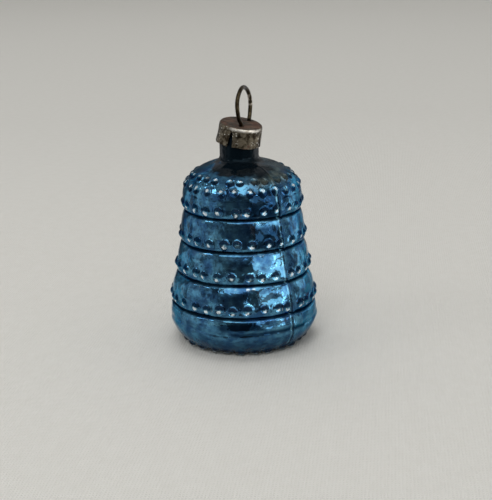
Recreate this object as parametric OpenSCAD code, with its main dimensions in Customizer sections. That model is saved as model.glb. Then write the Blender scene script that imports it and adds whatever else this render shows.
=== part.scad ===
// Bell-shaped glass tree ornament, at real size in millimetres.
// A blown and silvered glass bell, closed underneath, stands on a ring foot. A tinplate cap
// with bent claws sits askew on its open neck, and a spring-wire loop passes through the cap
// and down the neck. +Z is up, and the origin is on the ground under the bell's own axis.

/* [Bell] */
// Radius of the bell where it is widest, just above the foot
skirt_r = 19.75; // [18:0.05:23]
// Radius of the top tier, under the crown
shoulder_r = 15.6; // [14:0.1:17]
// Shape of the flare: 1 is a straight cone, more keeps the upper tiers slim
flare_power = 1.26; // [1:0.02:1.6]
// Outer radius of the flat ring that the bell stands on
foot_r = 11.65; // [10.5:0.05:12.5]
// Width of that ring
foot_w = 1.2; // [0.8:0.1:2]
// How far the underside is pushed up inside the ring
punt_h = 1.1; // [0.4:0.1:2.5]
// Number of stacked tiers, each closed below by a groove
tiers = 5; // [3:1:6]
// Height of a tier, from groove to groove
tier_h = 8.3; // [7:0.1:10]
// Height of the lowest groove over the ground
base_h = 11; // [10.5:0.1:13]
// Width of a groove at its mouth
groove_w = 1; // [0.6:0.1:1.4]
// Depth of a groove
groove_d = 0.4; // [0.1:0.05:0.45]
// Straight height of the top tier, from its groove to the crown
crown_z = 3.1; // [2.8:0.1:5]
// Rise of the crown to the foot of the neck
crown_rise = 10; // [8:0.1:13]
// Roundness of the crown: 2 is an ellipse, more is squarer
crown_power = 2.3; // [2:0.1:3]
// Thickness of the glass
glass_t = 0.8; // [0.7:0.05:1]

/* [Beads] */
// Spacing of the beads in the rows round the tiers and the skirt
bead_pitch = 3.8; // [3.4:0.1:4.6]
// Radius of a bead
bead_r = 1.2; // [0.9:0.05:1.35]
// How far a bead stands proud of the wall
bead_proud = 0.6; // [0.4:0.05:0.7]
// Height of a bead row over the groove below it
bead_lift = 2.2; // [2:0.1:2.6]
// Direction that falls midway between two beads of every row but the crown's upper one
bead_turn = 40; // [0:5:355]
// Beads in each of the two rows round the crown, set between each other
crown_bead_count = 26; // [18:2:26]
// Height of the crown's lower bead row over the crown's base
crown_bead_lift = 3.8; // [3.5:0.1:5]
// Rise from there to its upper row
crown_bead_step = 2.4; // [2.2:0.1:3]
// Direction from the skirt's curve out to the lowest bead row, below level
skirt_bead_tilt = 55; // [50:1:60]

/* [Neck] */
// Outer radius of the neck
neck_r = 5.1; // [4.6:0.05:5.6]
// Thickness of the neck's glass
neck_t = 0.9; // [0.6:0.05:1]
// Length of the neck, from the crown to its rim
neck_len = 6.2; // [5.5:0.1:8]
// How far the neck stands off the bell's axis
neck_shift = 0.6; // [0:0.1:1]
// Direction in which the neck stands off, from +X
neck_shift_dir = 200; // [0:5:360]
// Radius of the fillet round the foot of the neck
neck_fillet = 0.8; // [0.4:0.1:1.2]

/* [Silvering] */
// Thickness of the mirror film's stand-in on the inner wall
silver_t = 0.1; // [0.05:0.05:0.2]
// Clearance of that stand-in from the glass
silver_gap = 0.03; // [0.02:0.01:0.05]
// Radius on the crown where the silvering stops short of the neck
silver_stop_r = 7; // [6.5:0.1:9]

/* [Cap] */
// Thickness of the tinplate
tin_t = 0.25; // [0.2:0.05:0.35]
// Height of the cap
cap_h = 5.2; // [4.8:0.1:6]
// How much slimmer the cap is at its top than at its mouth, in radius
cap_draft = 0.15; // [0:0.05:0.25]
// Radius of the bend round the cap's top
cap_bend_r = 0.7; // [0.5:0.1:1]
// How far the cap reaches down over the rim of the neck
cap_grip = 2; // [1.5:0.1:2.3]
// Clearance between the cap and the neck where they come closest
cap_gap = 0.1; // [0.08:0.02:0.16]
// Tilt of the cap on the neck
cap_tilt = 11.5; // [0:0.5:12]
// Direction in which the cap leans, from +X
cap_tilt_dir = -20; // [-180:5:180]
// Number of claws that the slits leave
claw_count = 4; // [3:1:6]
// Height of a slit over the cap's mouth
slit_h = 3.9; // [2:0.1:4]
// Width of a slit at the cap's mouth
slit_mouth_w = 0.9; // [0.5:0.1:1.4]
// Width of a slit at its top
slit_top_w = 0.4; // [0.2:0.1:0.5]
// Turn of the slits about the cap's axis
slit_turn = -4; // [-45:1:45]
// Clearance of the wire in its holes
hole_gap = 0.12; // [0.1:0.02:0.2]

/* [Hanging loop] */
// Radius of the wire
wire_r = 0.53; // [0.4:0.01:0.6]
// Radius of the loop to the middle of the wire
loop_r = 4.9; // [4.5:0.1:7]
// Radius of the bends where the loop turns into its legs
loop_bend_r = 1.2; // [1:0.1:2]
// Clearance between the legs and the bore of the neck
leg_gap = 0.15; // [0.1:0.01:0.25]
// How far the legs stand to one side of the neck's axis
leg_side = 1.8; // [0:0.1:2]
// Lean of the loop to one side
loop_lean = 2.5; // [0:0.5:5]
// How far the loop pulls up before its feet reach the neck
pull_up = 3; // [1:0.5:4]
// Outward bend of the feet under the neck
foot_bend = 30; // [10:5:45]
// Length of a foot past its bend
foot_len = 2.5; // [1:0.5:4]

/* [Hidden] */
$fn = 48;
eps = 0.01;

// The bell's outline
skirt_bend_r = skirt_r - foot_r;             // curve from the ring foot out to the skirt
shoulder_z = base_h + (tiers - 2) * tier_h;  // the groove under the top tier
crown_base_z = shoulder_z + crown_z;
crown_top_z = crown_base_z + crown_rise;
groove_zs = [for (i = [0:tiers - 2]) base_h + i * tier_h];

// The neck, the cap's place on it, and the legs' place in it
neck_x = neck_shift * cos(neck_shift_dir);
neck_y = neck_shift * sin(neck_shift_dir);
rim_z = crown_top_z + neck_len;
bore_r = neck_r - neck_t;
// A tilted cap touches the neck at its low edge and, on the other side, at the rim
cap_mouth_r = (2 * (neck_r + cap_gap) + cap_grip * tan(cap_tilt)) / (cos(cap_tilt) + 1 / cos(cap_tilt))
    + cap_draft / 2;
cap_slip = neck_r + cap_gap - cap_mouth_r * cos(cap_tilt);
cap_top_r = cap_mouth_r - cap_draft;
leg_y = sqrt(pow(bore_r - wire_r - leg_gap, 2) - pow(leg_side, 2));

// Slopes of the cap's top along X and Y
top_slope_x = -tan(cap_tilt) * cos(cap_tilt_dir);
top_slope_y = -tan(cap_tilt) * sin(cap_tilt_dir);
loop_rock = atan(top_slope_y);
// Height of the cap's outer face where the loop stands on it
cap_top_x = cap_slip * cos(cap_tilt_dir) + cap_h * sin(cap_tilt) * cos(cap_tilt_dir);
cap_top_y = cap_slip * sin(cap_tilt_dir) + cap_h * sin(cap_tilt) * sin(cap_tilt_dir);
loop_z = rim_z - cap_grip + cap_h * cos(cap_tilt)
    + top_slope_x * (leg_side - cap_top_x) - top_slope_y * cap_top_y;
// The legs stay straight down to here, so that the feet still clear the neck when pulled up
leg_bottom_z = crown_top_z - glass_t - pull_up - wire_r;
// Lengths of wire stop this far short of their joints' middles
wire_trim = wire_r / 5;
// The ring's ends turn through this angle below level before they bend into the legs
loop_end = acos((leg_y + loop_bend_r) / (loop_r + loop_bend_r));
loop_mid_z = (loop_r + loop_bend_r) * sin(loop_end);

// Radius of the plain flared wall at height z
function flare(z) = z > shoulder_z ? shoulder_r
    : shoulder_r + (skirt_r - shoulder_r)
        * pow((shoulder_z - z) / (shoulder_z - skirt_bend_r), flare_power);

// Underside, foot and skirt curve, a depth t inside the outer skin, from the axis outwards
function base_points(t) = concat(
    [for (r = [0:0.2:1]) [r * (foot_r - foot_w), t + punt_h * (1 + cos(180 * r)) / 2]],
    [for (a = [0:15:90]) [foot_r + (skirt_bend_r - t) * sin(a), skirt_bend_r - (skirt_bend_r - t) * cos(a)]]);

// Crown, from its base up to radius r_end
function crown_points(t, r_end) =
    let (a = shoulder_r - t, b = crown_rise - t, stop = acos(pow(r_end / a, crown_power / 2)))
    [for (i = [0:10]) let (u = stop * i / 10)
        [a * pow(cos(u), 2 / crown_power), crown_base_z + b * pow(sin(u), 2 / crown_power)]];

// Heights where the smooth inner wall has a point: at each groove and halfway up each tier
inner_zs = [for (z = groove_zs) each z < shoulder_z ? [z, z + tier_h / 2] : [z]];

// Everything inside the skin at depth t, as an outline from the axis round to radius r_end
function inner_outline(t, r_end) = concat(base_points(t), [for (z = inner_zs) [flare(z) - t, z]],
    crown_points(t, r_end));

function reversed(list) = [for (i = [len(list) - 1:-1:0]) list[i]];

module at_neck() {
    translate([neck_x, neck_y, 0]) children();
}

// The cap's frame: origin at the middle of its mouth, +Z along its own axis
module on_cap() {
    at_neck()
        translate([cap_slip * cos(cap_tilt_dir), cap_slip * sin(cap_tilt_dir), rim_z - cap_grip])
            rotate([0, 0, cap_tilt_dir])
                rotate([0, cap_tilt, 0])
                    rotate([0, 0, -cap_tilt_dir])
                        children();
}

// One row of beads on the wall at radius r and height z, sunk into it along a slope of tilt.
// The first bead stands that share of a bead's spacing round from +X.
// The child is what lies inside the glass, where the beads' roots end.
module bead_row(count, r, z, tilt = 0, first = 0.5) {
    sink = bead_r - bead_proud;
    difference() {
        for (i = [0:count - 1])
            rotate([0, 0, (i + first) * 360 / count])
                translate([r - sink * cos(tilt), 0, z - sink * sin(tilt)])
                    rotate([0, 0, 180]) sphere(r = bead_r, $fn = 24);
        children();
    }
}

// Radius of the upright band at the foot of the tier over the groove at height z
function band_r(z) = flare(z + groove_w / 2);

// Number of beads that fit round radius r
function beads_round(r) = round(2 * PI * r / bead_pitch);

// The bead row on that band
module band_beads(z) {
    bead_row(beads_round(band_r(z)), band_r(z), z + bead_lift)
        translate([0, 0, z]) cylinder(r = band_r(z) - glass_t / 2, h = tier_h);
}

// Underside, ring foot and skirt, up to the lowest groove, with the lowest row of beads
module skirt() {
    rotate_extrude()
        polygon(concat(base_points(0),
            [[flare(base_h - groove_w / 2), base_h - groove_w / 2], [flare(base_h) - groove_d, base_h],
                [flare(base_h) - glass_t, base_h]],
            reversed(base_points(glass_t))));
    skirt_row_r = foot_r + skirt_bend_r * cos(skirt_bead_tilt);
    bead_row(beads_round(skirt_row_r), skirt_row_r,
        skirt_bend_r * (1 - sin(skirt_bead_tilt)), -skirt_bead_tilt)
        translate([0, 0, skirt_bend_r])
            rotate_extrude() translate([foot_r, 0]) circle(r = skirt_bend_r - glass_t / 2);
}

// A tier over the groove at height z: its upright band, then a wall that draws in to the flare
module tier(z) {
    band_h = bead_lift + bead_r;
    draw_in = band_r(z) - flare(z + band_h);
    wall = [for (u = [0:1 / 3:1]) let (h = band_h + (tier_h - groove_w / 2 - band_h) * u)
        [flare(z + h) + draw_in * cos(90 * u), z + h]];
    rotate_extrude()
        polygon(concat([[flare(z) - groove_d, z], [band_r(z), z + groove_w / 2]], wall,
            [[flare(z + tier_h) - groove_d, z + tier_h]],
            [for (h = [tier_h, tier_h / 2, 0]) [flare(z + h) - glass_t, z + h]]));
    band_beads(z);
}

// Top tier and crown
module crown() {
    rotate_extrude()
        polygon(concat([[shoulder_r - groove_d, shoulder_z], [shoulder_r, shoulder_z + groove_w / 2]],
            crown_points(0, 0), reversed(crown_points(glass_t, 0)), [[shoulder_r - glass_t, shoulder_z]]));
    band_beads(shoulder_z);
    for (row = [0, 1]) {
        lift = crown_bead_lift + row * crown_bead_step;
        u = asin(pow(lift / crown_rise, crown_power / 2));
        bead_row(crown_bead_count, shoulder_r * pow(cos(u), 2 / crown_power), crown_base_z + lift,
            atan(shoulder_r / crown_rise * pow(tan(u), 2 - 2 / crown_power)), (1 - row) / 2)
            rotate_extrude() polygon(concat([[0, crown_base_z]], crown_points(glass_t / 2, 0)));
    }
}

// Neck and the concave fillet where it grows out of the crown
module neck_tube() {
    root_z = crown_top_z - glass_t * 3 / 4;
    at_neck()
        rotate_extrude()
            polygon(concat([[0, root_z], [neck_r + neck_fillet, root_z]],
                [for (a = [0:15:90]) [neck_r + neck_fillet * (1 - sin(a)),
                    crown_top_z - glass_t / 4 + neck_fillet * (1 - cos(a))]],
                [[neck_r, rim_z], [0, rim_z]]));
}

module glass_bell() {
    color([0.10, 0.27, 0.50])
        difference() {
            union() {
                rotate([0, 0, bead_turn]) {
                    skirt();
                    for (z = groove_zs) if (z < shoulder_z) tier(z);
                    crown();
                }
                neck_tube();
            }
            at_neck() translate([0, 0, crown_base_z]) cylinder(r = bore_r, h = rim_z);
        }
}

module silver_lining() {
    outside = glass_t + silver_gap;
    color([0.86, 0.88, 0.90])
        rotate_extrude()
            polygon(concat(inner_outline(outside, silver_stop_r),
                reversed(inner_outline(outside + silver_t, silver_stop_r))));
}

// Cap's outline a depth t inside its outer face, from its mouth to its axis
function cap_outline(t) = let (r_mouth = cap_mouth_r + tin_t - t, r_top = cap_top_r + tin_t - t,
        bend = cap_bend_r - t)
    concat([[r_mouth, 0]],
        [for (a = [0:15:90]) [r_top - bend * (1 - cos(a)), cap_h - t - bend * (1 - sin(a))]],
        [[0, cap_h - t]]);

// A slit runs up the skirt from the mouth and narrows as it goes
module slit() {
    rotate([90, 0, 90])
        linear_extrude(cap_mouth_r + 2 * tin_t)
            polygon([[-slit_mouth_w / 2, -eps], [slit_mouth_w / 2, -eps],
                [slit_top_w / 2, slit_h], [-slit_top_w / 2, slit_h]]);
}

module cap() {
    color([0.48, 0.44, 0.38])
        difference() {
            on_cap()
                difference() {
                    rotate_extrude() polygon(concat(cap_outline(0), reversed(cap_outline(tin_t))));
                    for (i = [0:claw_count - 1]) rotate([0, 0, slit_turn + i * 360 / claw_count]) slit();
                }
            at_neck()
                for (side = [-1, 1])
                    translate([leg_side, side * leg_y, loop_z - cap_h / 2])
                        cylinder(r = wire_r + hole_gap, h = cap_h);
        }
}

// Wire is laid in lengths that meet in a joint a hair fatter than the wire
module wire_joint() {
    sphere(r = wire_r * 1.08, $fn = 24);
}

// A straight length of wire up the Z axis
module wire_rod(length) {
    translate([0, 0, wire_trim]) cylinder(r = wire_r, h = length - 2 * wire_trim, $fn = 24);
}

// An arc of wire in the XY plane about the origin
module wire_arc(r, from, sweep) {
    trim = wire_trim / r * 180 / PI;
    rotate_extrude(angle = sweep - 2 * trim, start = from + trim)
        translate([r, 0]) circle(r = wire_r, $fn = 24);
}

// The loop over the cap, in the XY plane, with its legs' tops at X = -leg_y and leg_y
module loop() {
    translate([0, loop_mid_z, 0]) wire_arc(loop_r, -loop_end, 180 + 2 * loop_end);
    for (side = [0, 1])
        mirror([side, 0, 0])
            translate([leg_y + loop_bend_r, 0, 0]) {
                wire_arc(loop_bend_r, 180 - loop_end, loop_end);
                for (turn = [0, loop_end])
                    rotate([0, 0, -turn]) translate([-loop_bend_r, 0, 0]) wire_joint();
            }
}

// A leg from height z down the neck, and its foot, bent outwards along +X
module leg(z) {
    translate([leg_y, 0, leg_bottom_z]) {
        wire_rod(z - leg_bottom_z);
        wire_joint();
        rotate([0, 180 - foot_bend, 0]) translate([0, 0, -wire_trim]) wire_rod(foot_len);
    }
}

module hanger_wire() {
    color([0.42, 0.38, 0.32])
        at_neck() translate([leg_side, 0, 0]) {
            translate([0, 0, loop_z])
                rotate([loop_rock, -loop_lean, 0])
                    rotate([90, 0, 90]) loop();
            rotate([0, 0, 90]) leg(loop_z + leg_y * sin(loop_rock));
            rotate([0, 0, -90]) leg(loop_z - leg_y * sin(loop_rock));
        }
}

glass_bell();
silver_lining();
cap();
hanger_wire();
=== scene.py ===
import math

import bpy
import numpy as np
from mathutils import Matrix, Vector, noise


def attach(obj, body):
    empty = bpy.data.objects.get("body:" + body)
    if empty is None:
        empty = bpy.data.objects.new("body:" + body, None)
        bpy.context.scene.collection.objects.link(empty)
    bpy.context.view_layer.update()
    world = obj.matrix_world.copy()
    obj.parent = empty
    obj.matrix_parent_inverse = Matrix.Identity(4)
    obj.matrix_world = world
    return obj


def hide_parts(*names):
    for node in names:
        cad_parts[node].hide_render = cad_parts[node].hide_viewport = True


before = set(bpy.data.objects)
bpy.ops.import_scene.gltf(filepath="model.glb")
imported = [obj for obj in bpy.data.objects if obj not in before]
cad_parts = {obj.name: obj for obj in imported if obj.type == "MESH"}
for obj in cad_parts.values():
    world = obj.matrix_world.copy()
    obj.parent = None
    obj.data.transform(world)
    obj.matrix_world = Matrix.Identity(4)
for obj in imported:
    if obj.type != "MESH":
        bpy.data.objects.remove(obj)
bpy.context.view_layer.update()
scene = bpy.context.scene
MM = 0.001

# ---------------------------------------------------------------------------
# Camera. It stands close in front of the bell, a little round to its right side and
# somewhat above it, and is held a shade off level.
# ---------------------------------------------------------------------------
stand_turn = math.radians(20)       # how far round from -Y towards +X the camera stands
look_down = math.radians(16.1)
tipped = math.radians(0.82)
stand_off = 290 * MM
aim_height = 24 * MM
side_step = 0.8 * MM

to_right = Vector((math.cos(stand_turn), math.sin(stand_turn), 0))
away = Vector((-math.sin(stand_turn), math.cos(stand_turn), 0))
forward = away * math.cos(look_down) - Vector((0, 0, math.sin(look_down)))
view_up = away * math.sin(look_down) + Vector((0, 0, math.cos(look_down)))
eye = Vector((0, 0, aim_height)) - forward * stand_off + to_right * side_step
cam_right = to_right * math.cos(tipped) - view_up * math.sin(tipped)
cam_up = to_right * math.sin(tipped) + view_up * math.cos(tipped)

camera_data = bpy.data.cameras.new("camera")
camera_data.lens = 78.3
camera_data.clip_start = 0.01
camera_data.clip_end = 20
camera = bpy.data.objects.new("camera", camera_data)
turn = Matrix((cam_right, cam_up, -forward)).transposed()
camera.matrix_world = Matrix.Translation(eye) @ turn.to_4x4()
scene.collection.objects.link(camera)
scene.camera = camera

# ---------------------------------------------------------------------------
# Glass bell. Blown into a two-part mould, silvered inside and dipped in clear blue lacquer.
# The mould gives it five tiers, solid glass beads over each groove, round the crown and under
# the skirt, and a seam down each side; the glass is one closed shell with an open neck.
# ---------------------------------------------------------------------------
skirt_r, shoulder_r, flare_power = 19.75, 15.6, 1.26
foot_r, foot_w, punt_h = 11.65, 1.2, 1.1
tiers, tier_h, base_h = 5, 8.3, 11.0
groove_w, groove_d = 1.0, 0.4
crown_z, crown_rise, crown_power = 3.1, 10.0, 2.3
glass_t = 0.8
bead_pitch, bead_r, bead_proud, bead_lift, bead_turn = 3.8, 1.2, 0.6, 2.2, math.radians(40)
crown_bead_count, crown_bead_lift, crown_bead_step = 26, 3.8, 2.4
skirt_bead_tilt = math.radians(55)
neck_r, neck_t, neck_len, rim_bend_r = 5.1, 0.9, 6.2, 0.3
neck_shift, neck_shift_dir, neck_flare = 0.6, math.radians(200), 1.2

skirt_bend_r = skirt_r - foot_r
shoulder_z = base_h + (tiers - 2) * tier_h
crown_base_z = shoulder_z + crown_z
crown_top_z = crown_base_z + crown_rise
rim_z = crown_top_z + neck_len
bore_r = neck_r - neck_t
neck_x = neck_shift * math.cos(neck_shift_dir)
neck_y = neck_shift * math.sin(neck_shift_dir)
grooves = [base_h + i * tier_h for i in range(tiers - 1)]


def flare(z):
    """Radius of the plain flared wall."""
    if z > shoulder_z:
        return shoulder_r
    return shoulder_r + (skirt_r - shoulder_r) * (
        (shoulder_z - z) / (shoulder_z - skirt_bend_r)) ** flare_power


def arc(r, z, radius, start, end, step):
    """Points along a circular arc, its angles in degrees from level outwards."""
    count = max(2, round(abs(end - start) * math.pi / 180 * radius / step) + 1)
    return [(r + radius * math.cos(a), z + radius * math.sin(a))
            for a in np.radians(np.linspace(start, end, count))]


def crown_line(inset, r_end, count):
    """Points up the crown, from its foot to where its radius has shrunk to r_end."""
    a, b = shoulder_r - inset, crown_rise - inset
    stop = math.acos((r_end / a) ** (crown_power / 2))
    return [(a * math.cos(u) ** (2 / crown_power),
             crown_base_z + b * math.sin(u) ** (2 / crown_power))
            for u in stop * np.linspace(0.001, 1, count)]


def hump(distance, width):
    """1 at no distance, falling off smoothly within about the width."""
    return math.exp(-(distance / width) ** 2)


def groove_cut(distance):
    """Depth of the groove: the tier above rolls into it, the one below has a tighter edge."""
    cut_above, cut_below = 0.52, 0.34
    return 1.25 * groove_d * hump(distance, cut_above if distance > 0 else cut_below)


def tier_wall(groove, z):
    """A tier is upright where its beads sit and draws in towards the groove above it."""
    band = flare(groove + groove_w / 2)
    if groove >= shoulder_z:
        return band
    up = max(0, (z - groove - groove_w / 2) / (tier_h - groove_w))
    return band - (band - flare(groove + tier_h - groove_w / 2)) * min(1, up) ** 1.8


def punt(r):
    """Height of the underside, which is pushed up inside its ring foot."""
    return punt_h * (1 + math.cos(math.pi * r / (foot_r - foot_w))) / 2


def outside_line():
    """The bell's outer line from the middle of the underside to the foot of the neck."""
    coarse, fine, by_groove = 0.36, 0.25, 0.75
    line = [(r, punt(r)) for r in np.linspace(0, foot_r - foot_w, 7)]
    line += arc(foot_r, skirt_bend_r, skirt_bend_r, -90, 0, 0.26)
    for i, groove in enumerate(grooves):
        below = flare if i == 0 else lambda z, g=grooves[i - 1]: tier_wall(g, z)
        start = line[-1][1]
        for z in np.arange(start + coarse, groove - 0.8, coarse):
            line.append((below(z), z))
        for z in np.linspace(groove - by_groove, groove + by_groove, 14):
            wall = below(z) if z < groove else tier_wall(groove, z)
            line.append((wall - groove_cut(z - groove), z))
        top = groove + bead_lift + bead_r + 0.3 if groove < shoulder_z else crown_base_z
        for z in np.arange(groove + 0.95, top, fine):
            line.append((tier_wall(groove, z), z))
    return line + crown_line(0, neck_r + neck_flare, 48)


def inside_line():
    """The smooth inner wall, from the bore down to the middle of the underside."""
    line = crown_line(glass_t, bore_r, 7)
    line = [(flare(z) - glass_t, z) for z in np.linspace(skirt_bend_r, shoulder_z, 6)] + line
    line = arc(foot_r, skirt_bend_r, skirt_bend_r - glass_t, -90, -10, 2.2) + line
    line = [(r, glass_t + punt(r)) for r in np.linspace(0, foot_r - foot_w, 5)] + line
    return line[::-1]


# The neck grows out of the crown in a round that starts along the crown's own slope
crown_end_r, crown_end_z = outside_line()[-1]
crown_slope = math.atan(crown_rise / shoulder_r * (
    crown_end_r / shoulder_r / ((crown_end_z - crown_base_z) / crown_rise)) ** (crown_power - 1))
neck_round = neck_flare / (1 - math.sin(crown_slope))
neck_line = arc(neck_r + neck_round, crown_end_z + neck_round * math.cos(crown_slope),
                neck_round, 268 - math.degrees(crown_slope), 180, 0.16)
neck_line += [(neck_r, z) for z in np.linspace(crown_top_z + 1.1, rim_z - rim_bend_r, 9)]
neck_line += arc(neck_r - rim_bend_r, rim_z - rim_bend_r, rim_bend_r, 20, 90, 0.12)
bore_line = arc(bore_r + rim_bend_r, rim_z - rim_bend_r, rim_bend_r, 90, 160, 0.12)
bore_line += [(bore_r, z) for z in np.linspace(rim_z - 0.4, crown_top_z - 0.6, 5)]

# Rings of the shell in order, each with how far its middle has moved over to the neck's axis
rings = []
shift_from_r, shift_over = 9, 3
for line, outer, on_neck in ((outside_line(), True, False), (neck_line, True, True),
                             (bore_line, False, True), (inside_line(), False, False)):
    for r, z in line:
        share = min(1, max(0, (shift_from_r - r) / shift_over)) if z > crown_base_z else 0
        rings.append((r, z, 1 if on_neck else share, outer))

# The mould's two seams lean a little, and each tier of the mould sits slightly off the next
seam_turn = math.radians(-31.5)
seam_lean = math.radians(-0.11)     # per millimetre of height
seam_steps = (0.0, 0.7, -0.5, 0.6, -0.3)


def seam_at(z):
    """Angle of the front seam at a height."""
    tier = 0.0
    for groove, before, after in zip(grooves, seam_steps, seam_steps[1:]):
        tier += (after - before) / (1 + math.exp(-(z - groove) / 0.25))
    return seam_turn + seam_lean * (z - 24) + math.radians(tier)


# Columns of points round the shell, closer together by the seams
even = np.linspace(0, 2 * math.pi, 300, endpoint=False)
close = np.radians([-3.1, -2.6, -2.1, -1.65, -1.3, -0.8, -0.4, 0.4, 0.8, 1.3, 1.8, 2.4])
columns = np.sort(np.concatenate([even, close % (2 * math.pi), math.pi + close]))


def blown(x, y, z):
    """Unevenness of blown glass: how far the wall stands off its line, in millimetres."""
    # Each ripple's depth, its length across and up, and where in the noise it starts
    ripples = ((0.24, 11, 7, (3.1, 7.7, 1.3)), (0.11, 3.6, 3.0, (9.2, 0.4, 5.8)),
               (0.035, 1.7, 1.9, (2.6, 8.1, 4.4)))
    return sum(depth * noise.noise(Vector((x / across, y / across, z / up)) + Vector(start))
               for depth, across, up, start in ripples)


def rolled_top(phi, z):
    """How far a tier's top draws in under its groove, more in some places than others."""
    if z <= 12:
        return 0.0
    under = min((g - z for g in grooves if g > z), default=9)
    wander = noise.noise(Vector((2.2 * math.cos(phi), 2.2 * math.sin(phi), z / 9)))
    return -0.30 * max(0, 0.5 + 1.1 * wander) * hump(under - 0.4, 1.0)


def skirt_crease(phi, z):
    """A shallow wandering crease round the skirt, where the mould's last step filled badly."""
    level = 7.4 + 0.45 * math.sin(2 * phi + 0.6) + 0.3 * math.sin(5 * phi)
    crease_d, crease_w, swell_h, swell_w, swell_drop = 0.26, 0.6, 0.12, 0.9, 1.5
    return -crease_d * hump(z - level, crease_w) + swell_h * hump(z - level + swell_drop, swell_w)


def across_seam(angle, z):
    """Ridge and small step that the mould's joint leaves, and how far off the joint is."""
    off = min(abs((angle - turn + math.pi) % (2 * math.pi) - math.pi)
              for turn in (0, math.pi))
    side = 1 if math.sin(angle) > 0 else -1
    mm = off * flare(z)
    ridge_h, ridge_w, step_h, step_w = 0.17, 0.25, 0.09, 2.0
    return ridge_h * hump(mm, ridge_w) + side * step_h * math.exp(-(mm / step_w)), mm


# The shell's points, and marks on them that its material reads. Its foot and the neck's root
# stay true, where it stands and where the cap sits.
far_off = 9.0
verts, faces = [], []
marks = {name: [] for name in ("outer", "seam", "seam_edge", "groove", "lip")}
for r, z, share, outer in rings:
    if r < 1e-6:
        verts.append((0, 0, z * MM))
        for name in marks:
            marks[name].append(float(outer) if name == "outer" else 0.0)
        continue
    over = min((z - g for g in grooves), key=abs)
    over = over if outer and r > shoulder_r - 1 and abs(over) < 2 else far_off
    for angle in columns:
        phi = angle + seam_at(z)
        x, y = r * math.cos(phi), r * math.sin(phi)
        push, off = 0.0, far_off
        if outer and r > neck_r + 1:
            ridge, off = across_seam(angle, z)
            free = min(1, z / 3) if z < 6 else min(1, (r - neck_r - 1) / 3)
            push = (blown(x, y, z) + ridge + skirt_crease(phi, z) + rolled_top(phi, z)) * free
        k = 1 + push / r
        verts.append(((x * k + neck_x * share) * MM, (y * k + neck_y * share) * MM, z * MM))
        # In places a painted highlight runs down one side of each seam
        glint_spread = 0.55 + 0.9 * noise.noise(Vector((z / 1.3, 3 * math.cos(angle), 5)))
        glinting = math.sin(angle) < 0 < glint_spread and off < 2
        wide = (0.30 if z < 13 else 0.37) + 0.16 * noise.noise(Vector((x / 3, y / 3, z / 8)))
        marks["outer"].append(float(outer))
        marks["seam"].append(hump(off, 0.28))
        marks["seam_edge"].append(glint_spread * hump(off - 0.5, 0.22) if glinting else 0.0)
        marks["groove"].append(math.exp(-(abs(over) / wide) ** 4))
        marks["lip"].append(max(hump(over - 0.78, 0.24), hump(over + 0.68, 0.22)))
for name, unset in (("bead", 0.0), ("bead_aside", 0.0), ("bead_up", far_off)):
    marks[name] = [unset] * len(verts)

start, before = 0, None
for r, z, share, outer in rings:
    size = 1 if r < 1e-6 else len(columns)
    if before is not None:
        first, count = before
        for i in range(len(columns)):
            j = (i + 1) % len(columns)
            if count == 1:
                faces.append((first, start + j, start + i))
            elif size == 1:
                faces.append((first + i, first + j, start))
            else:
                faces.append((first + i, first + j, start + j, start + i))
    before = (start, size)
    start += size


def new_object(name, verts, faces, edges=()):
    """A mesh object in the scene, at the origin."""
    mesh = bpy.data.meshes.new(name)
    mesh.from_pydata(verts, edges, faces)
    made = bpy.data.objects.new(name, mesh)
    scene.collection.objects.link(made)
    return made


bell = new_object("moulded_bell", verts, faces)
for name, values in marks.items():
    bell.data.attributes.new(name, "FLOAT", "POINT").data.foreach_set("value", values)
bell.data.polygons.foreach_set("use_smooth", [True] * len(faces))


class Amount:
    """A node's output. Arithmetic on it adds Math nodes to its tree."""

    def __init__(self, socket):
        self.socket, self.tree = socket, socket.id_data


def feed(socket, value):
    """Puts an Amount, or a value that stays the same all over, into a socket."""
    if isinstance(value, Amount):
        value.tree.links.new(value.socket, socket)
    else:
        socket.default_value = value


def node_in(tree, kind, output=0, at=None, **named):
    """One output of a new node. A capital starts the name of an input, whose spaces are
    underscores here, and a small letter starts a setting's; at gives inputs by number."""
    node = tree.nodes.new(kind)
    inputs = dict(at or {})
    for name, value in named.items():
        if name[0].isupper():
            inputs[name.replace("_", " ")] = value
        else:
            setattr(node, name, value)
    for key, value in inputs.items():
        feed(node.inputs[key], value)
    return Amount(node.outputs[output])


def calc(operation, *terms):
    """One Math node on Amounts and numbers."""
    tree = next(term.tree for term in terms if isinstance(term, Amount))
    return node_in(tree, "ShaderNodeMath", at=dict(enumerate(terms)), operation=operation)


for sign, operation in (("add", "ADD"), ("sub", "SUBTRACT"), ("mul", "MULTIPLY"),
                        ("truediv", "DIVIDE"), ("pow", "POWER")):
    setattr(Amount, f"__{sign}__", lambda self, other, op=operation: calc(op, self, other))
    setattr(Amount, f"__r{sign}__", lambda self, other, op=operation: calc(op, other, self))


def most(amount, *others):
    """The greatest of several Amounts."""
    for other in others:
        amount = calc("MAXIMUM", amount, other)
    return amount


def fade(value, low, high):
    """0 up to low and 1 from high on, with a soft rise between. Low may be the greater."""
    return node_in(value.tree, "ShaderNodeMapRange", interpolation_type="SMOOTHSTEP",
                   Value=value, From_Min=low, From_Max=high)


def band(value, start, full, ebb, end):
    """1 from full to ebb, and 0 before start and after end."""
    return fade(value, start, full) * fade(value, end, ebb)


def split(vector):
    """A vector's three parts."""
    parts = vector.tree.nodes.new("ShaderNodeSeparateXYZ")
    feed(parts.inputs[0], vector)
    return [Amount(part) for part in parts.outputs]


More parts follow.
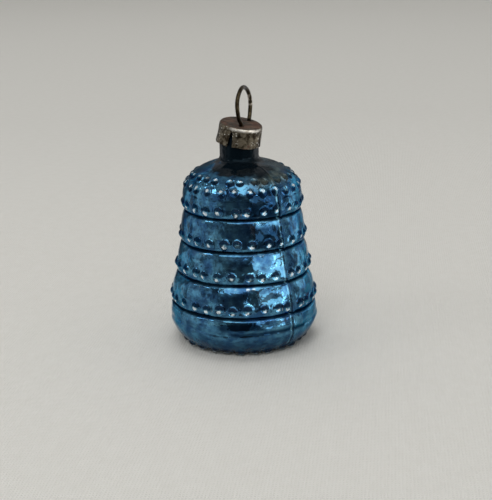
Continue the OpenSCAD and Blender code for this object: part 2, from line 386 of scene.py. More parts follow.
def new_tree(name, kind, inputs, output):
    """A node group with named inputs, each given as (name, type, default), and one output:
    its tree, its inputs and the socket that its result goes to."""
    tree = bpy.data.node_groups.new(name, kind)
    for label, socket_type, *default in inputs:
        made = tree.interface.new_socket(name=label, in_out="INPUT",
                                         socket_type=f"NodeSocket{socket_type}")
        if default:
            made.default_value = default[0]
    label, socket_type = output
    tree.interface.new_socket(name=label, in_out="OUTPUT", socket_type=f"NodeSocket{socket_type}")
    given = [Amount(socket) for socket in tree.nodes.new("NodeGroupInput").outputs if socket.name]
    return tree, given, tree.nodes.new("NodeGroupOutput").inputs[label]


def end_tree(tree, result, geometry, finish):
    """Ends a tree in real geometry with a material on it."""
    real = node_in(tree, "GeometryNodeRealizeInstances", Geometry=geometry)
    feed(result, node_in(tree, "GeometryNodeSetMaterial", Geometry=real, Material=finish))
    return tree


def run_tree(obj, name, tree, **inputs):
    """Puts a tree on an object, with each input set by its socket's identifier."""
    modifier = obj.modifiers.new(name, "NODES")
    modifier.node_group = tree
    for socket in tree.interface.items_tree:
        label = socket.name.replace(" ", "_")
        if socket.in_out == "INPUT" and label in inputs:
            modifier[socket.identifier] = inputs[label]


def bead_row_tree():
    """Raises a ring of beads on the shell, each a little off its even place."""
    tree, given, result = new_tree("bead row", "GeometryNodeTree", (
        ("Shell", "Geometry"), ("Beads", "Int", 26), ("Bead Radius", "Float", 0.0012),
        ("Proud", "Float", 0.0006), ("Row Radius", "Float", 0.0197),
        ("Row Height", "Float", 0.0132), ("Tilt", "Float", 0.0), ("First Bead", "Float", 0.0),
        ("Unevenness", "Float", 0.5), ("Seed", "Int", 1), ("Material", "Material")),
        ("Shell", "Geometry"))
    kept, beads, bead_radius, proud, row_r, row_z, tilt, first, uneven, seed, finish = given
    x, y, z = split(node_in(tree, "GeometryNodeInputPosition"))
    phi = calc("ARCTAN2", y, x)
    r = calc("SQRT", x * x + y * y)
    pitch = 2 * math.pi / beads
    number = calc("ROUND", (phi - first) / pitch)
    ident = calc("FLOORED_MODULO", number, beads)

    def chance(draw, low, high):
        """A number of each bead's own, between low and high on a fully uneven row."""
        return node_in(tree, "FunctionNodeRandomValue", 1, {2: low, 3: high}, ID=ident,
                       Seed=seed + draw) * uneven

    # How far a point is from its bead's middle: round the row, along the wall and out of it
    sway, smaller, larger, hop = 0.16, -0.2, 0.15, 0.0003
    aside = r * (phi - (first + pitch * (number + chance(0, -sway, sway))))
    radius = bead_radius * (1 + chance(7, smaller, larger))
    out = r - row_r
    rise = z - row_z - chance(13, -hop, hop)
    cos_t, sin_t = calc("COSINE", tilt), calc("SINE", tilt)
    along = rise * cos_t - out * sin_t
    level = out * cos_t + rise * sin_t
    near = aside * aside + along * along

    # The bead is a ball sunk in the wall, and melts into it in a small round
    melt, wall_reach, steep = 0.0005, 0.002, 2000
    foot = calc("SQRT", radius * radius - (radius - proud) ** 2)
    dome = calc("SQRT", calc("MAXIMUM", 0, radius * radius - near))
    top = dome - calc("MAXIMUM", 0, near - radius * radius) * steep - (radius - proud)
    lift = calc("MAXIMUM", calc("SMOOTH_MAX", level, top, melt) - level, 0) * (
        calc("LESS_THAN", near, 1e-5) * calc("LESS_THAN", calc("ABSOLUTE", level), wall_reach)
        * node_in(tree, "GeometryNodeInputNamedAttribute", Name="outer"))
    flat = lift * cos_t
    move = node_in(tree, "ShaderNodeCombineXYZ", X=flat * calc("COSINE", phi),
                   Y=flat * calc("SINE", phi), Z=lift * sin_t)
    earlier = node_in(tree, "GeometryNodeInputNamedAttribute", Name="bead")
    share = most(earlier, calc("MINIMUM", 1, lift / proud))
    around = calc("LESS_THAN", near, 2.2 * (radius * radius))
    for label, value, where in (("bead", share, True), ("bead_aside", aside / foot, around),
                                ("bead_up", along / foot, around)):
        kept = node_in(tree, "GeometryNodeStoreNamedAttribute", Geometry=kept, Name=label,
                       Value=value, Selection=where)
    raised = node_in(tree, "GeometryNodeSetPosition", Geometry=kept, Offset=move)
    return end_tree(tree, result, raised, finish)


def blotch_group():
    """Uneven patches of an aged finish: 0 where it is sound and 1 in a patch."""
    tree, given, result = new_tree("aged blotches", "ShaderNodeTree", (
        ("Size", "Float", 0.003), ("Detail", "Float", 4.0), ("Cover", "Float", 0.5),
        ("Softness", "Float", 0.1), ("Stretch", "Vector", (1, 1, 1)), ("Seed", "Float", 0.0)),
        ("Mask", "Float"))
    size, detail, cover, softness, stretch, seed = given
    place = node_in(tree, "ShaderNodeTexCoord", "Object")
    shaped = node_in(tree, "ShaderNodeVectorMath", at={0: place, 1: stretch},
                     operation="MULTIPLY")
    mottle = node_in(tree, "ShaderNodeTexNoise", noise_dimensions="4D", Vector=shaped, W=seed,
                     Detail=detail, Scale=1 / size, Roughness=0.6)
    sound = 1 - cover
    feed(result, fade(mottle, sound - softness, sound + softness))
    return tree


def speck_group():
    """Small round specks, pits or dust: 1 on a speck."""
    tree, given, result = new_tree("specks", "ShaderNodeTree", (
        ("Spacing", "Float", 0.002), ("Speck Radius", "Float", 0.0002), ("Seed", "Float", 0.0)),
        ("Mask", "Float"))
    spacing, radius, seed = given
    distance = node_in(tree, "ShaderNodeTexVoronoi", "Distance", voronoi_dimensions="4D",
                       Vector=node_in(tree, "ShaderNodeTexCoord", "Object"), W=seed,
                       Scale=1 / spacing)
    size = radius / spacing
    feed(result, fade(distance, size, size * 0.6))
    return tree


blotches, specks = blotch_group(), speck_group()


def patches(tree, effect=blotches, **inputs):
    """Aged blotches, or another effect, in a material with its own values."""
    return node_in(tree, "ShaderNodeGroup", node_tree=effect, **inputs)


def cloud(place, scale, detail, output=0):
    """Soft noise, 0 to 1, with so many swells to a metre."""
    return node_in(place.tree, "ShaderNodeTexNoise", output, Vector=place, Scale=scale,
                   Detail=detail)


def blend(share, first, second):
    """Mixes two colours, each a triple or an Amount."""
    first, second = ((*c, 1) if isinstance(c, tuple) else c for c in (first, second))
    return node_in(share.tree, "ShaderNodeMix", 2, {0: share, 6: first, 7: second},
                   data_type="RGBA")


def dress(material, height=None, **values):
    """Feeds a material's shader by its sockets' names, and its normal from a height."""
    tree = material.node_tree
    if height:
        values["Normal"] = node_in(tree, "ShaderNodeBump", Strength=1.0, Distance=1.0,
                                   Height=height)
    for name, value in values.items():
        feed(tree.nodes["Principled BSDF"].inputs[name.replace("_", " ")], value)


def new_material(name, **constants):
    """A material with constant values on its shader, and its tree."""
    material = bpy.data.materials.new(name)
    material.use_nodes = True
    dress(material, **constants)
    return material, material.node_tree


def lacquered_glass():
    """Blue lacquer over silvered glass, mottled with age, with dark glass round the neck."""
    material, tree = new_material("blue_lacquer_over_silver", Coat_Roughness=0.03,
                                  Coat_IOR=1.38, Specular_IOR_Level=0.12,
                                  Specular_Tint=(0.25, 0.45, 0.60, 1))
    deep_blue, light_blue = (0.023, 0.093, 0.215), (0.100, 0.305, 0.470)
    smudged_blue, milky_blue = (0.009, 0.040, 0.100), (0.22, 0.54, 0.68)
    pinhole_blue, painted_dark_blue = (0.004, 0.010, 0.020), (0.004, 0.020, 0.052)
    crinkle_glint_blue, hem_shade_blue = (0.40, 0.72, 0.80), (0.003, 0.018, 0.045)
    bead_shade_blue, bead_sheen_blue = (0.004, 0.018, 0.052), (0.16, 0.44, 0.60)
    glint_white, glint_dash_blue = (0.80, 0.88, 0.92), (0.55, 0.68, 0.75)
    groove_shade_dark, seam_dark = (0.001, 0.004, 0.009), (0.003, 0.012, 0.028)
    seam_glint_blue, bare_glass = (0.20, 0.48, 0.62), (0.002, 0.005, 0.008)
    smoke_dark, smoke_pale = (0.010, 0.018, 0.020), (0.085, 0.095, 0.072)

    bead, groove, lip, seam, seam_edge, bead_aside, bead_up = (
        node_in(tree, "ShaderNodeAttribute", "Fac", attribute_name=name)
        for name in ("bead", "groove", "lip", "seam", "seam_edge", "bead_aside", "bead_up"))
    place = node_in(tree, "ShaderNodeTexCoord", "Object")
    x, y, z = split(place)
    ahead = x * math.cos(front) + y * math.sin(front)
    to_side = y * math.cos(front) - x * math.sin(front)

    # The crown's beads face up, so they show the light at their upper edge
    bead_up = bead_up * (1 - fade(z, 0.0400, 0.0415) * 2)

    # On each bead: 1 at its middle and 0 at its foot
    reach = bead_aside ** 2 + bead_up ** 2
    swell = calc("MAXIMUM", 0, 1 - reach) * calc("GREATER_THAN", bead, 0.005)

    # Thick and thin lacquer, smudges, milky patches and pinholes
    tone = patches(tree, Size=0.004, Detail=5.0, Softness=0.14, Stretch=(1, 1, 0.9), Seed=3.0)
    colour = blend(tone, deep_blue, light_blue)
    smudge = patches(tree, Size=0.0024, Detail=7.0, Cover=0.44, Softness=0.12,
                     Stretch=(1, 1, 1.7), Seed=8.0)
    milky = patches(tree, Size=0.0022, Detail=7.0, Cover=0.36, Softness=0.09,
                    Stretch=(0.6, 0.6, 2.0), Seed=15.0)
    pinholes = patches(tree, specks, Spacing=0.0017, Speck_Radius=0.00030, Seed=2.0)
    for mask, dye in ((smudge * 0.75, smudged_blue), (milky * 0.38, milky_blue),
                      (pinholes * 0.7, pinhole_blue)):
        colour = blend(mask, colour, dye)

    # Painted dark reflection down the two upper tiers and round the skirt, and painted shade
    # along the skirt's crease: from and to what height, and from and to what angle left and right
    # of the front
    frayed = (cloud(place, 260.0, 4.0) - 0.5) * 0.5
    turned = calc("ARCTAN2", to_side, ahead) + frayed
    level = z + frayed * 0.003
    fray = 0.0006
    painted_dark = most(*[
        band(turned, left - 0.04, left + 0.08, right - 0.04, right + 0.02)
        * band(level, low - fray, low + fray, high - fray, high + fray)
        for low, high, left, right in (
            (0.0285, 0.0343, 0.10, 0.66), (0.0362, 0.0432, 0.10, 0.66),
            (0.0080, 0.0100, -0.38, 0.30), (0.0064, 0.0077, -0.20, 0.95))])
    colour = blend(painted_dark * 0.92, colour, painted_dark_blue)

    # The wall crinkled where the mould's foot met its seam, with a painted reflection on the
    # crinkles, and painted shade darkens the hem
    crinkle = node_in(tree, "ShaderNodeTexNoise", noise_type="RIDGED_MULTIFRACTAL",
                      Vector=place, Scale=420.0, Detail=3.0)
    crushed = band(turned, 0.26, 0.40, 0.80, 0.95) * band(level, 0.0074, 0.0082, 0.0100, 0.0108)
    colour = blend(crushed * fade(crinkle, 0.5, 0.9) * 0.85, colour, crinkle_glint_blue)
    hem = fade(level, 0.0074, 0.0015)
    colour = blend(hem * 0.75, colour, hem_shade_blue)

    # Painted shade over one half of each bead, and on the other a painted glint ringed by paler
    # painted sheen
    bead_shade = fade(reach, 1.5, 0.8) * fade(bead_up, -0.25, 0.25)
    colour = blend(bead_shade * 0.94, colour, bead_shade_blue)
    jag_x, jag_y, _ = split(cloud(place, 1100.0, 2.0, "Color"))
    off_glint = (bead_aside + (jag_x - 0.5)) ** 2 + (bead_up + (jag_y - 0.12)) ** 2
    bead_sheen = fade(off_glint, 0.55, 0.12) * fade(swell, 0.05, 0.3)
    colour = blend(bead_sheen * 0.5, colour, bead_sheen_blue)
    glint_spread = patches(tree, Size=0.0028, Detail=2.0, Cover=0.56, Softness=0.06, Seed=12.0)
    bead_glint = fade(off_glint, 0.24, 0.08) * glint_spread * fade(swell, 0.1, 0.3) * fade(z, 0.0475, 0.0455)
    colour = blend(bead_glint * 0.95, colour, glint_white)
    # Painted glints in dashes along the lips by each groove, painted shade in the grooves, the
    # seam's dark line and a painted highlight down one side of the seam
    glint_dashes = patches(tree, Size=0.0024, Cover=0.34, Softness=0.05, Seed=40.0)
    for mask, dye in ((lip * glint_dashes * 0.8, glint_dash_blue), (groove * 0.97, groove_shade_dark),
                      (seam * 0.85, seam_dark), (seam_edge * 0.7, seam_glint_blue)):
        colour = blend(mask, colour, dye)

    # The silvering stops short of the neck with a ragged edge, lower in front, and thins to
    # a smoky grey on one side
    edge = z + (cloud(place, 330.0, 5.0) - 0.5) * 0.003 + fade(ahead, 0.003, 0.010) * 0.0021
    bare = fade(edge, 0.0477, 0.0487)
    smoky = fade(edge, 0.0452, 0.0475) * fade(to_side, -0.001, 0.005)
    streaks = patches(tree, Size=0.0012, Detail=6.0, Softness=0.16, Stretch=(0.4, 0.8, 1.4),
                      Seed=21.0)
    colour = blend(smoky * 0.9, colour, blend(streaks, smoke_dark, smoke_pale))
    colour = blend(bare, colour, bare_glass)
    dull = most(bare, smoky * 0.5, bead_glint * 0.75, hem * 0.8)
    unglazed = most(bare * 0.9, groove, bead_shade * 0.6, painted_dark * 0.8, hem * 0.7)
    worn = patches(tree, Size=0.004, Detail=6.0, Cover=0.45, Softness=0.2, Seed=5.0)

    # Light passes each solid bead twice, so its mirror shows turned about; the rest ripples
    puckered = patches(tree, Size=0.006, Detail=2.0, Softness=0.2, Seed=30.0)
    height = (cloud(place, 300.0, 2.5) * 0.00034 + cloud(place, 1500.0, 3.0) * 0.000004
              + cloud(place, 110.0, 1.5) * 0.0012
              + crinkle * (puckered + crushed * 3.2) * 0.00007
              - swell * (1.7 * bead_proud * MM))
    dress(material, height, Base_Color=colour, Metallic=1 - dull,
          Coat_Weight=0.3 * (1 - unglazed),
          Roughness=0.055 + worn * 0.08 + groove * 0.3 + bead_glint * 0.25 + hem * 0.15)
    return material


front = -math.pi / 2 + stand_turn
lacquer = lacquered_glass()
bell.data.materials.append(lacquer)


def bead_row(r, z, tilt=0.0, count=None, first=0.5):
    """A row's count, wall radius, height, tilt and the angle of one bead."""
    count = count or round(2 * math.pi * r / bead_pitch)
    return count, r, z, tilt, bead_turn + first * 2 * math.pi / count


rows = [bead_row(flare(g + groove_w / 2), g + bead_lift) for g in grooves]
rows.append(bead_row(foot_r + skirt_bend_r * math.cos(skirt_bead_tilt),
                     skirt_bend_r * (1 - math.sin(skirt_bead_tilt)), -skirt_bead_tilt))
for upper in (0, 1):
    lift = crown_bead_lift + upper * crown_bead_step
    u = math.asin((lift / crown_rise) ** (crown_power / 2))
    lean = math.atan(shoulder_r / crown_rise * math.tan(u) ** (2 - 2 / crown_power))
    rows.append(bead_row(shoulder_r * math.cos(u) ** (2 / crown_power), crown_base_z + lift, lean,
                         crown_bead_count, (1 - upper) / 2))
bead_tree, bead_swell, crown_bead_flat = bead_row_tree(), 1.2, 0.85
for number, (count, r, z, tilt, first) in enumerate(rows):
    proud = bead_proud * (crown_bead_flat if z > crown_base_z else 1)
    run_tree(bell, f"bead row {number + 1}", bead_tree, Beads=count,
             Bead_Radius=bead_swell * bead_r * MM, Proud=proud * MM, Row_Radius=r * MM,
             Row_Height=z * MM, Tilt=float(tilt), First_Bead=first, Unevenness=1.0,
             Seed=10 * number + 3, Material=lacquer)


def made_plain(obj, sharp=None):
    """Turns an object's modifiers into plain mesh. With sharp given, in degrees, it is made
    smooth but for the edges that are sharper."""
    evaluated = obj.evaluated_get(bpy.context.evaluated_depsgraph_get())
    plain = bpy.data.meshes.new_from_object(evaluated)
    obj.modifiers.clear()
    obj.data = plain
    if sharp:
        plain.shade_smooth()
        plain.set_sharp_from_angle(angle=math.radians(sharp))


made_plain(bell)
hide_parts("glass_bell")
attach(bell, "bell")

# ---------------------------------------------------------------------------
# Silver lining. A mirror film of silver, poured in as a liquid and dried on the inner wall of
# the glass. It stops short of the neck and can't be taken off.
# ---------------------------------------------------------------------------
silver, yellowed_silver = (0.86, 0.88, 0.90), (0.62, 0.60, 0.55)
silvering, silver_tree = new_material("poured_silvering", Metallic=1.0)
drips = patches(silver_tree, Size=0.005, Cover=0.4, Softness=0.2, Stretch=(1, 1, 0.3), Seed=1.0)
dress(silvering, Base_Color=blend(drips, silver, yellowed_silver), Roughness=0.08 + drips * 0.2)
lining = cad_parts["silver_lining"]
lining.data.materials.clear()
lining.data.materials.append(silvering)

# ---------------------------------------------------------------------------
# Cap. Drawn from thin tinplate, slit from its mouth into four claws that grip the neck, and
# pierced with two holes for the wire. It sits askew, and its claws are bent and rusty.
# ---------------------------------------------------------------------------
tin_t, cap_h, cap_draft, cap_bend_r, cap_grip, cap_gap = 0.25, 5.2, 0.15, 0.7, 2.0, 0.1
cap_tilt, cap_tilt_dir = math.radians(11.5), math.radians(-20)
claw_count, slit_h, slit_mouth_w, slit_top_w, slit_turn = 4, 3.9, 0.9, 0.4, math.radians(-4)
wire_r, hole_gap, leg_gap, leg_side = 0.53, 0.12, 0.15, 1.8

cap_mouth_r = ((2 * (neck_r + cap_gap) + cap_grip * math.tan(cap_tilt))
               / (math.cos(cap_tilt) + 1 / math.cos(cap_tilt)) + cap_draft / 2)
cap_slip = neck_r + cap_gap - cap_mouth_r * math.cos(cap_tilt)
cap_top_r = cap_mouth_r - cap_draft
leg_y = math.sqrt((bore_r - wire_r - leg_gap) ** 2 - leg_side ** 2)
on_cap = (Matrix.Translation((neck_x + cap_slip * math.cos(cap_tilt_dir),
                              neck_y + cap_slip * math.sin(cap_tilt_dir), rim_z - cap_grip))
          @ Matrix.Rotation(cap_tilt_dir, 4, "Z") @ Matrix.Rotation(cap_tilt, 4, "Y")
          @ Matrix.Rotation(-cap_tilt_dir, 4, "Z"))

# The tin's outer face in section, from its mouth up and over to its middle
cap_line = [(cap_mouth_r + tin_t - cap_draft * z / cap_h, z)
            for z in np.linspace(0, cap_h - cap_bend_r, 16)]
cap_line += arc(cap_top_r + tin_t - cap_bend_r, cap_h - cap_bend_r, cap_bend_r, 10, 90, 0.14)
cap_line += [(r, cap_h) for r in np.linspace(cap_top_r - cap_bend_r, 0.25, 13)]

# Each claw is a strip of columns between two slits, one of which gapes; another claw is bent out
claw_cols, gaping_slit, flared_claw = 26, 3, 2
claw_span, claw_bend_z, gape = 2 * math.pi / claw_count, 3.2, 1.5
dent_d, ripple_d, corner_curl, flared_out = 0.12, 0.05, 0.12, 0.45
lid_ripple, mouth_fray = 0.10, 0.22
tin_verts, tin_faces = [], []
for claw in range(claw_count):
    for step in range(claw_cols + 1):
        u = step / claw_cols
        by_gape = (claw, u < 0.5) in ((gaping_slit, True), (gaping_slit - 1, False))
        for r, z in cap_line:
            slit_w = slit_top_w + (slit_mouth_w - slit_top_w) * max(0, 1 - z / slit_h)
            half = 0.5 * (gape if by_gape else 1) * slit_w if z < slit_h else 0
            gap = half / (cap_mouth_r + tin_t)
            phi = slit_turn + claw * claw_span + gap + u * (claw_span - 2 * gap)
            low = max(0, 1 - z / claw_bend_z)
            corner = abs(2 * u - 1) ** 4
            dent = noise.noise(Vector((4 * math.cos(phi), 4 * math.sin(phi), z * 0.45)) * 0.5
                               + Vector((5, 2, claw)))
            kink = noise.noise(Vector((r * math.cos(phi), r * math.sin(phi), z)) * 0.9
                               + Vector((1, 8, 3)))
            out = dent_d * dent * low + ripple_d * kink + corner_curl * corner * low ** 2
            if claw == flared_claw:
                out += flared_out * low ** 1.5 * max(0, 1 - 1.6 * abs(u - 0.55))
            rise = lid_ripple * kink if z >= cap_h - 0.01 else mouth_fray * dent * low
            tin_verts.append(((r + out) * math.cos(phi), (r + out) * math.sin(phi), z + rise))
rows_up = len(cap_line)
strips = [(claw * (claw_cols + 1) + step) * rows_up
          for claw in range(claw_count) for step in range(claw_cols)]
for base in strips:
    for j in range(base, base + rows_up - 1):
        tin_faces.append((j, j + rows_up, j + rows_up + 1, j + 1))
tin_faces.append([base + rows_up - 1 for base in strips])

cap_piece = new_object("crimped_cap", [tuple(on_cap @ Vector(v) * MM) for v in tin_verts],
                       tin_faces)
weld = cap_piece.modifiers.new("join claws", "WELD")
weld.merge_threshold = 0.00001
sheet = cap_piece.modifiers.new("tin", "SOLIDIFY")
sheet.thickness, sheet.offset, sheet.use_even_offset = tin_t * MM, -1, True

hole_r, hole_z, drill_sides = wire_r + hole_gap, rim_z - cap_grip + cap_h, 32
drill_walls = [(i, (i + 1) % drill_sides, drill_sides + (i + 1) % drill_sides, drill_sides + i)
               for i in range(drill_sides)]
drill_ends = [tuple(range(drill_sides))[::-1], tuple(range(drill_sides, 2 * drill_sides))]
drills = []
for side in (-1, 1):
    around = np.linspace(0, 2 * math.pi, drill_sides, endpoint=False)
    drills.append(new_object("drill", [
        ((neck_x + leg_side + hole_r * math.cos(a)) * MM,
         (neck_y + side * leg_y + hole_r * math.sin(a)) * MM, (hole_z + up) * MM)
        for up in (-2.5, 3) for a in around], drill_walls + drill_ends))
    cut = cap_piece.modifiers.new("wire hole", "BOOLEAN")
    cut.operation, cut.solver, cut.object = "DIFFERENCE", "EXACT", drills[-1]
made_plain(cap_piece, sharp=40)
for drill in drills:
    bpy.data.objects.remove(drill)


def tarnished_tin():
    """Dull tinplate, mottled brown, with a rusty lid and pale flecks of bare tin."""
    material, tree = new_material("tarnished_tinplate", Metallic=1.0)
    brown, grey = (0.032, 0.024, 0.015), (0.21, 0.18, 0.13)
    red_rust, grime_dark = (0.085, 0.032, 0.016), (0.009, 0.006, 0.004)
    bend_glint_tin, fleck_tin = (0.84, 0.80, 0.72), (0.80, 0.78, 0.70)

    shine = patches(tree, Size=0.0018, Detail=7.0, Seed=1.0)
    colour = blend(shine, brown, grey)
    place = node_in(tree, "ShaderNodeTexCoord", "Object")
    x, y, _ = split(place)
    up_cap = on_cap.to_3x3() @ Vector((0, 0, 1))
    above_lid = node_in(tree, "ShaderNodeVectorMath", "Value", {0: place, 1: up_cap},
                        operation="DOT_PRODUCT") - (on_cap.translation.dot(up_cap) + cap_h) * MM
    lid = fade(above_lid, -0.0004, -0.0001)
    grime = patches(tree, Size=0.0022, Detail=6.0, Softness=0.14, Seed=14.0)
    rust = patches(tree, Size=0.0024, Detail=8.0, Cover=0.36, Softness=0.06, Seed=4.0)
    rust = most(rust, lid * 0.9)
    colour = blend(rust * 0.9, colour, blend(grime, red_rust, grime_dark))

    def round_cap(turned, low, high):
        """1 on the side of the cap that is turned right of the front by so many degrees."""
        side = front + math.radians(turned)
        return fade(x * math.cos(side) + y * math.sin(side), low, high)

    # A painted highlight lies on the bend round the lid at the front, and the tin shows through
    # in flecks
    glinting = patches(tree, Size=0.0035, Detail=3.0, Softness=0.12, Seed=9.0)
    glinting = round_cap(16, 0.0038, 0.0050) * (0.3 + glinting)
    bend = band(above_lid, -0.0011, -0.0006, -0.0004, -0.0001)
    colour = blend(bend * glinting * 0.8, colour, bend_glint_tin)
    claws = most(round_cap(-40, 0.0047, 0.0053), round_cap(58, 0.0044, 0.0049))
    where = patches(tree, Size=0.0016, Detail=3.0, Cover=0.52, Softness=0.08, Seed=17.0) * claws
    fleck = patches(tree, specks, Spacing=0.0006, Speck_Radius=0.00026, Seed=6.0)
    fleck = fleck * where * (1 - lid)
    colour = blend(fleck * 0.85, colour, fleck_tin)
    dress(material, (cloud(place, 1400.0, 6.0) + rust) * 0.00006, Base_Color=colour,
          Roughness=0.36 + rust * 0.4, Metallic=1 - most(fleck, rust * 0.8))
    return material


cap_piece.data.materials.clear()
cap_piece.data.materials.append(tarnished_tin())
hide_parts("cap")
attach(cap_piece, "cap")

# ---------------------------------------------------------------------------
# Hanging loop. One length of spring wire bent by hand: a round loop over the cap, and two
# legs through its holes that splay under the neck and hold the cap down.
# ---------------------------------------------------------------------------
loop_r, loop_bend_r, loop_lean = 4.9, 1.2, math.radians(2.5)
pull_up, foot_bend, foot_len = 3.0, math.radians(30), 2.5
top_slope_x = -math.tan(cap_tilt) * math.cos(cap_tilt_dir)
top_slope_y = -math.tan(cap_tilt) * math.sin(cap_tilt_dir)
loop_rock = math.atan(top_slope_y)
cap_top_x = (cap_slip + cap_h * math.sin(cap_tilt)) * math.cos(cap_tilt_dir)
cap_top_y = (cap_slip + cap_h * math.sin(cap_tilt)) * math.sin(cap_tilt_dir)
loop_z = (rim_z - cap_grip + cap_h * math.cos(cap_tilt)
          + top_slope_x * (leg_side - cap_top_x) - top_slope_y * cap_top_y)
leg_bottom_z = crown_top_z - glass_t - pull_up - wire_r
loop_end = math.acos((leg_y + loop_bend_r) / (loop_r + loop_bend_r))
loop_mid_z = (loop_r + loop_bend_r) * math.sin(loop_end)

to_loop = (Matrix.Translation((0, 0, loop_z)) @ Matrix.Rotation(-loop_lean, 4, "Y")
           @ Matrix.Rotation(loop_rock, 4, "X"))


def half_loop(side):
    """Middle of the wire from one foot up to the top of the loop, on one side."""
    route = []
    for t in np.linspace(foot_len, 0.4, 6):
        route.append(Vector((0, side * (leg_y + t * math.sin(foot_bend)),
                             leg_bottom_z - t * math.cos(foot_bend))))
    leg_top = loop_z + side * leg_y * math.sin(loop_rock)
    for z in np.linspace(leg_bottom_z + 0.3, leg_top - 0.3, 34):
        route.append(Vector((0, side * leg_y, z)))
    for a in np.linspace(0.15, 1, 6) * loop_end:
        y = leg_y + loop_bend_r * (1 - math.cos(a))
        route.append(to_loop @ Vector((0, side * y, loop_bend_r * math.sin(a))))
    for a in np.linspace(-loop_end, math.pi / 2, 34)[1:]:
        y, z = loop_r * math.cos(a), loop_mid_z + loop_r * math.sin(a)
        route.append(to_loop @ Vector((0, side * y, z)))
    return route


wire_route = half_loop(-1) + half_loop(1)[-2::-1]
for i, point in enumerate(wire_route):
    if point.z > loop_z + 1:
        sway = 0.12 * noise.noise(Vector((i * 0.09, 4.0, 1.0)))
        point += Vector((sway, 0.5 * sway, 0))
    point += Vector((neck_x + leg_side, neck_y, 0))
hanger = new_object("wire_loop", [tuple(p * MM) for p in wire_route], [],
                    [(i, i + 1) for i in range(len(wire_route) - 1)])


def wire_tree():
    """Runs round wire along a line of points, with closed ends and a slightly uneven gauge."""
    tree, given, result = new_tree("wire along a line", "GeometryNodeTree", (
        ("Line", "Geometry"), ("Wire Radius", "Float", 0.0005), ("Sides", "Int", 18),
        ("Unevenness", "Float", 0.04), ("Material", "Material")), ("Wire", "Geometry"))
    line, radius, sides, uneven, finish = given
    curve = node_in(tree, "GeometryNodeMeshToCurve", Mesh=line)
    finer = node_in(tree, "GeometryNodeResampleCurve", Curve=curve, Count=260)
    wander = node_in(tree, "ShaderNodeTexNoise", Scale=700.0, Detail=2.0)
    section = node_in(tree, "GeometryNodeCurvePrimitiveCircle", Resolution=sides, Radius=radius)
    swept = node_in(tree, "GeometryNodeCurveToMesh", Curve=finer, Profile_Curve=section,
                    Scale=1 + (wander - 0.5) * uneven, Fill_Caps=True)
    return end_tree(tree, result, swept, finish)


def tarnished_wire():
    """Spring wire gone brown-grey, with rust, bare places and a painted highlight."""
    material, tree = new_material("tarnished_wire", Metallic=1.0)
    brown, grey = (0.007, 0.005, 0.003), (0.060, 0.047, 0.027)
    bare_steel_and_glint, rust_brown = (0.46, 0.41, 0.35), (0.022, 0.013, 0.008)

    shade = patches(tree, Size=0.0016, Detail=6.0, Softness=0.15, Seed=2.0)
    colour = blend(shade, brown, grey)

    # A painted highlight on the far limb of the loop, below its top
    limb_glint_z, limb_glint_half, limb_glint_clear = 0.0637, 0.0011, 0.0017
    place = node_in(tree, "ShaderNodeTexCoord", "Object")
    _, y, z = split(place)
    limb_glint = (fade(calc("ABSOLUTE", z - limb_glint_z), limb_glint_clear, limb_glint_half)
              * patches(tree, Size=0.0009, Detail=2.0, Cover=0.48, Softness=0.06, Seed=3.0)
              * calc("GREATER_THAN", y, 0.0))
    bare = patches(tree, Size=0.0022, Detail=3.0, Cover=0.26, Softness=0.05, Seed=31.0)
    colour = blend(most(bare, limb_glint * 0.85), colour, bare_steel_and_glint)
    rust = patches(tree, Size=0.0012, Detail=8.0, Cover=0.36, Softness=0.06, Seed=9.0)
    colour = blend(rust * 0.8, colour, rust_brown)
    dress(material, cloud(place, 2200.0, 5.0) * 0.00004, Base_Color=colour,
          Roughness=0.3 + rust * 0.4, Metallic=1 - limb_glint * 0.4)
    return material


run_tree(hanger, "wire", wire_tree(), Wire_Radius=wire_r * MM, Sides=18, Unevenness=0.05,
         Material=tarnished_wire())
made_plain(hanger, sharp=50)
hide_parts("hanger_wire")
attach(hanger, "hanger")

# ---------------------------------------------------------------------------
# Table and surroundings. Pale, finely woven cloth close round the bell, and the same cloth
# going on to the distance.
# ---------------------------------------------------------------------------
table_r, floor_r, disc_sides = 0.11, 4.0, 96
thread_pitch, weave_depth, slub_depth = 0.00075, 0.00005, 0.00012
weave_ways = (1, 0.22), (-0.22, 1)
cloth_dark, cloth_pale = (0.690, 0.678, 0.640), (0.715, 0.705, 0.670)


def ring(radius):
    """Points on the ground round the bell."""
    turns = [2 * math.pi * i / disc_sides for i in range(disc_sides)]
    return [(math.cos(a) * radius, math.sin(a) * radius, 0) for a in turns]


cloth, cloth_tree = new_material("pale_table", Specular_IOR_Level=0.2, Roughness=0.8)
mottle = patches(cloth_tree, Size=0.004, Detail=5.0, Softness=0.3, Seed=1.0)
on_cloth = node_in(cloth_tree, "ShaderNodeTexCoord", "Object")
over_x, over_y, _ = split(on_cloth)
threads = [calc("SINE", (over_x * across + over_y * up) * (2 * math.pi / thread_pitch))
           for across, up in weave_ways]
dress(cloth, most(*threads) * weave_depth + cloud(on_cloth, 900.0, 4.0) * slub_depth,
      Base_Color=blend(mottle, cloth_dark, cloth_pale))
table_top = new_object("table_top", ring(table_r), [tuple(range(disc_sides))])
floor = new_object("floor", ring(floor_r) + ring(table_r), [
    (i, (i + 1) % disc_sides, disc_sides + (i + 1) % disc_sides, disc_sides + i)
    for i in range(disc_sides)])
for ground in (table_top, floor):
    ground.data.materials.append(cloth)
floor.visible_glossy = False

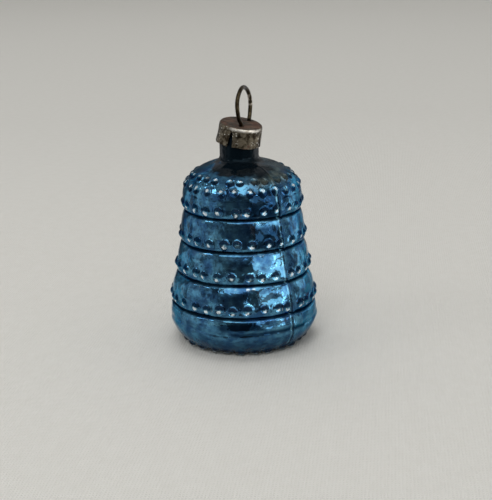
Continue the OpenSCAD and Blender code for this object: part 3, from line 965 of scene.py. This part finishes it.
# ---------------------------------------------------------------------------
# Light. A window and its lamps to the right of the camera, a small lamp to the left, soft
# light from above, in front and behind, and an even pale room. Cloth screens round the bell,
# dark in front, give its mirror something to show.
# ---------------------------------------------------------------------------
scene.world = bpy.data.worlds.new("room")
scene.world.use_nodes = True
room = scene.world.node_tree.nodes["Background"]
room.inputs["Color"].default_value = (0.470, 0.467, 0.455, 1)
lamp_aim, screen_r = Vector((0, 0, 0.025)), 0.42


def towards(turn, rise, distance):
    """A place seen from the bell, turned right of the camera and raised, in degrees."""
    a, e = front + math.radians(turn), math.radians(rise)
    return Vector((math.cos(a) * math.cos(e), math.sin(a) * math.cos(e), math.sin(e))) * distance


def panel(name, turn, rise, distance, width, height, radiance):
    """A soft panel light facing the bell; radiance 1 looks white in a mirror."""
    data = bpy.data.lights.new(name, "AREA")
    data.shape, data.size, data.size_y = "RECTANGLE", width, height
    data.energy = radiance * math.pi * width * height
    light = bpy.data.objects.new(name, data)
    place = towards(turn, rise, distance)
    light.matrix_world = (Matrix.Translation(place + lamp_aim)
                          @ place.to_track_quat("Z", "Y").to_matrix().to_4x4())
    light.visible_camera = False
    scene.collection.objects.link(light)
    return light


# Lamps that the mirror shows
for lamp in (panel("window", 36, 10, 0.5, 0.27, 0.16, 1.45),
             panel("window_side", 64, 8, 0.5, 0.22, 0.22, 1.85),
             panel("window_lamp", 30, 26, 0.5, 0.05, 0.035, 20.0),
             panel("window_pane", 56, 4, 0.5, 0.045, 0.05, 4.0),
             panel("front_light", 12, 52, 0.6, 0.95, 0.46, 1.5)):
    lamp.visible_diffuse = False
# Lamps that only light the table
for lamp in (panel("front_fill", -10, 45, 1.2, 0.6, 0.6, 3.5),
             panel("lamp_above", -150, 84, 2.4, 1.3, 1.3, 1.6),
             panel("far_light", -165, 60, 1.6, 1.3, 1.3, 0.35)):
    lamp.visible_glossy = False
panel("side_lamp", -72, 34, 0.45, 0.12, 0.06, 5.0)


def screen(name, stops, heights, patchy, room_shade=0.45):
    """A cloth screen round the bell, shown only by the mirror. Its stops give the shade at
    turns from the camera; it pales to the room's shade where heights say, and patchy is how
    far its folds lighten and darken it."""
    turns = np.linspace(stops[0][0], stops[-1][0], 61)
    corners, shades = [], []
    for level, fading in heights:
        for turn in turns:
            corners.append(tuple(towards(turn, 0, screen_r) + Vector((0, 0, level))))
            own = float(np.interp(turn, *zip(*stops)))
            folds = noise.noise(Vector((turn / 13, 9 * level, 2.5)))
            own *= 1 + patchy * max(-0.6, min(0.8, 2 * folds))
            shades.append(own + (room_shade - own) * fading)
    last = len(turns)
    made = new_object(name, corners, [
        (k * last + i, k * last + i + 1, k * last + last + i + 1, k * last + last + i)
        for k in range(len(heights) - 1) for i in range(last - 1)])
    made.data.attributes.new("shade", "FLOAT", "POINT").data.foreach_set("value", shades)
    dyed, dyed_tree = new_material(name, Base_Color=(0, 0, 0, 1), Specular_IOR_Level=0.0,
                                   Emission_Strength=1.0)
    dress(dyed, Emission_Color=node_in(dyed_tree, "ShaderNodeAttribute", "Color",
                                       attribute_name="shade"))
    made.data.materials.append(dyed)
    made.visible_camera = made.visible_diffuse = made.visible_shadow = False


walls = ((-0.25, 0), (-0.14, 0), (-0.07, 0), (-0.02, 0), (0.05, 0), (0.10, 0), (0.17, 0.3),
         (0.26, 1))
tall_walls = walls[:-2] + ((0.20, 0), (0.30, 0), (0.42, 0), (0.55, 0))
screen("left_screen", ((-180, 0.22), (-150, 0.40), (-90, 0.50), (-62, 0.42), (-44, 0.24),
                       (-38, 0.14)), tall_walls, 1.0)
screen("dark_screen", ((-38, 0.14), (-10, 0.105), (17, 0.105)), walls, 0.3)
screen("grey_screen", ((17, 0.22), (50, 0.26), (84, 0.40)), walls[:4], 0.5)
screen("right_screen", ((84, 0.60), (120, 0.85), (150, 0.50), (180, 0.22)), walls, 1.0)

scene.view_settings.view_transform = "Standard"
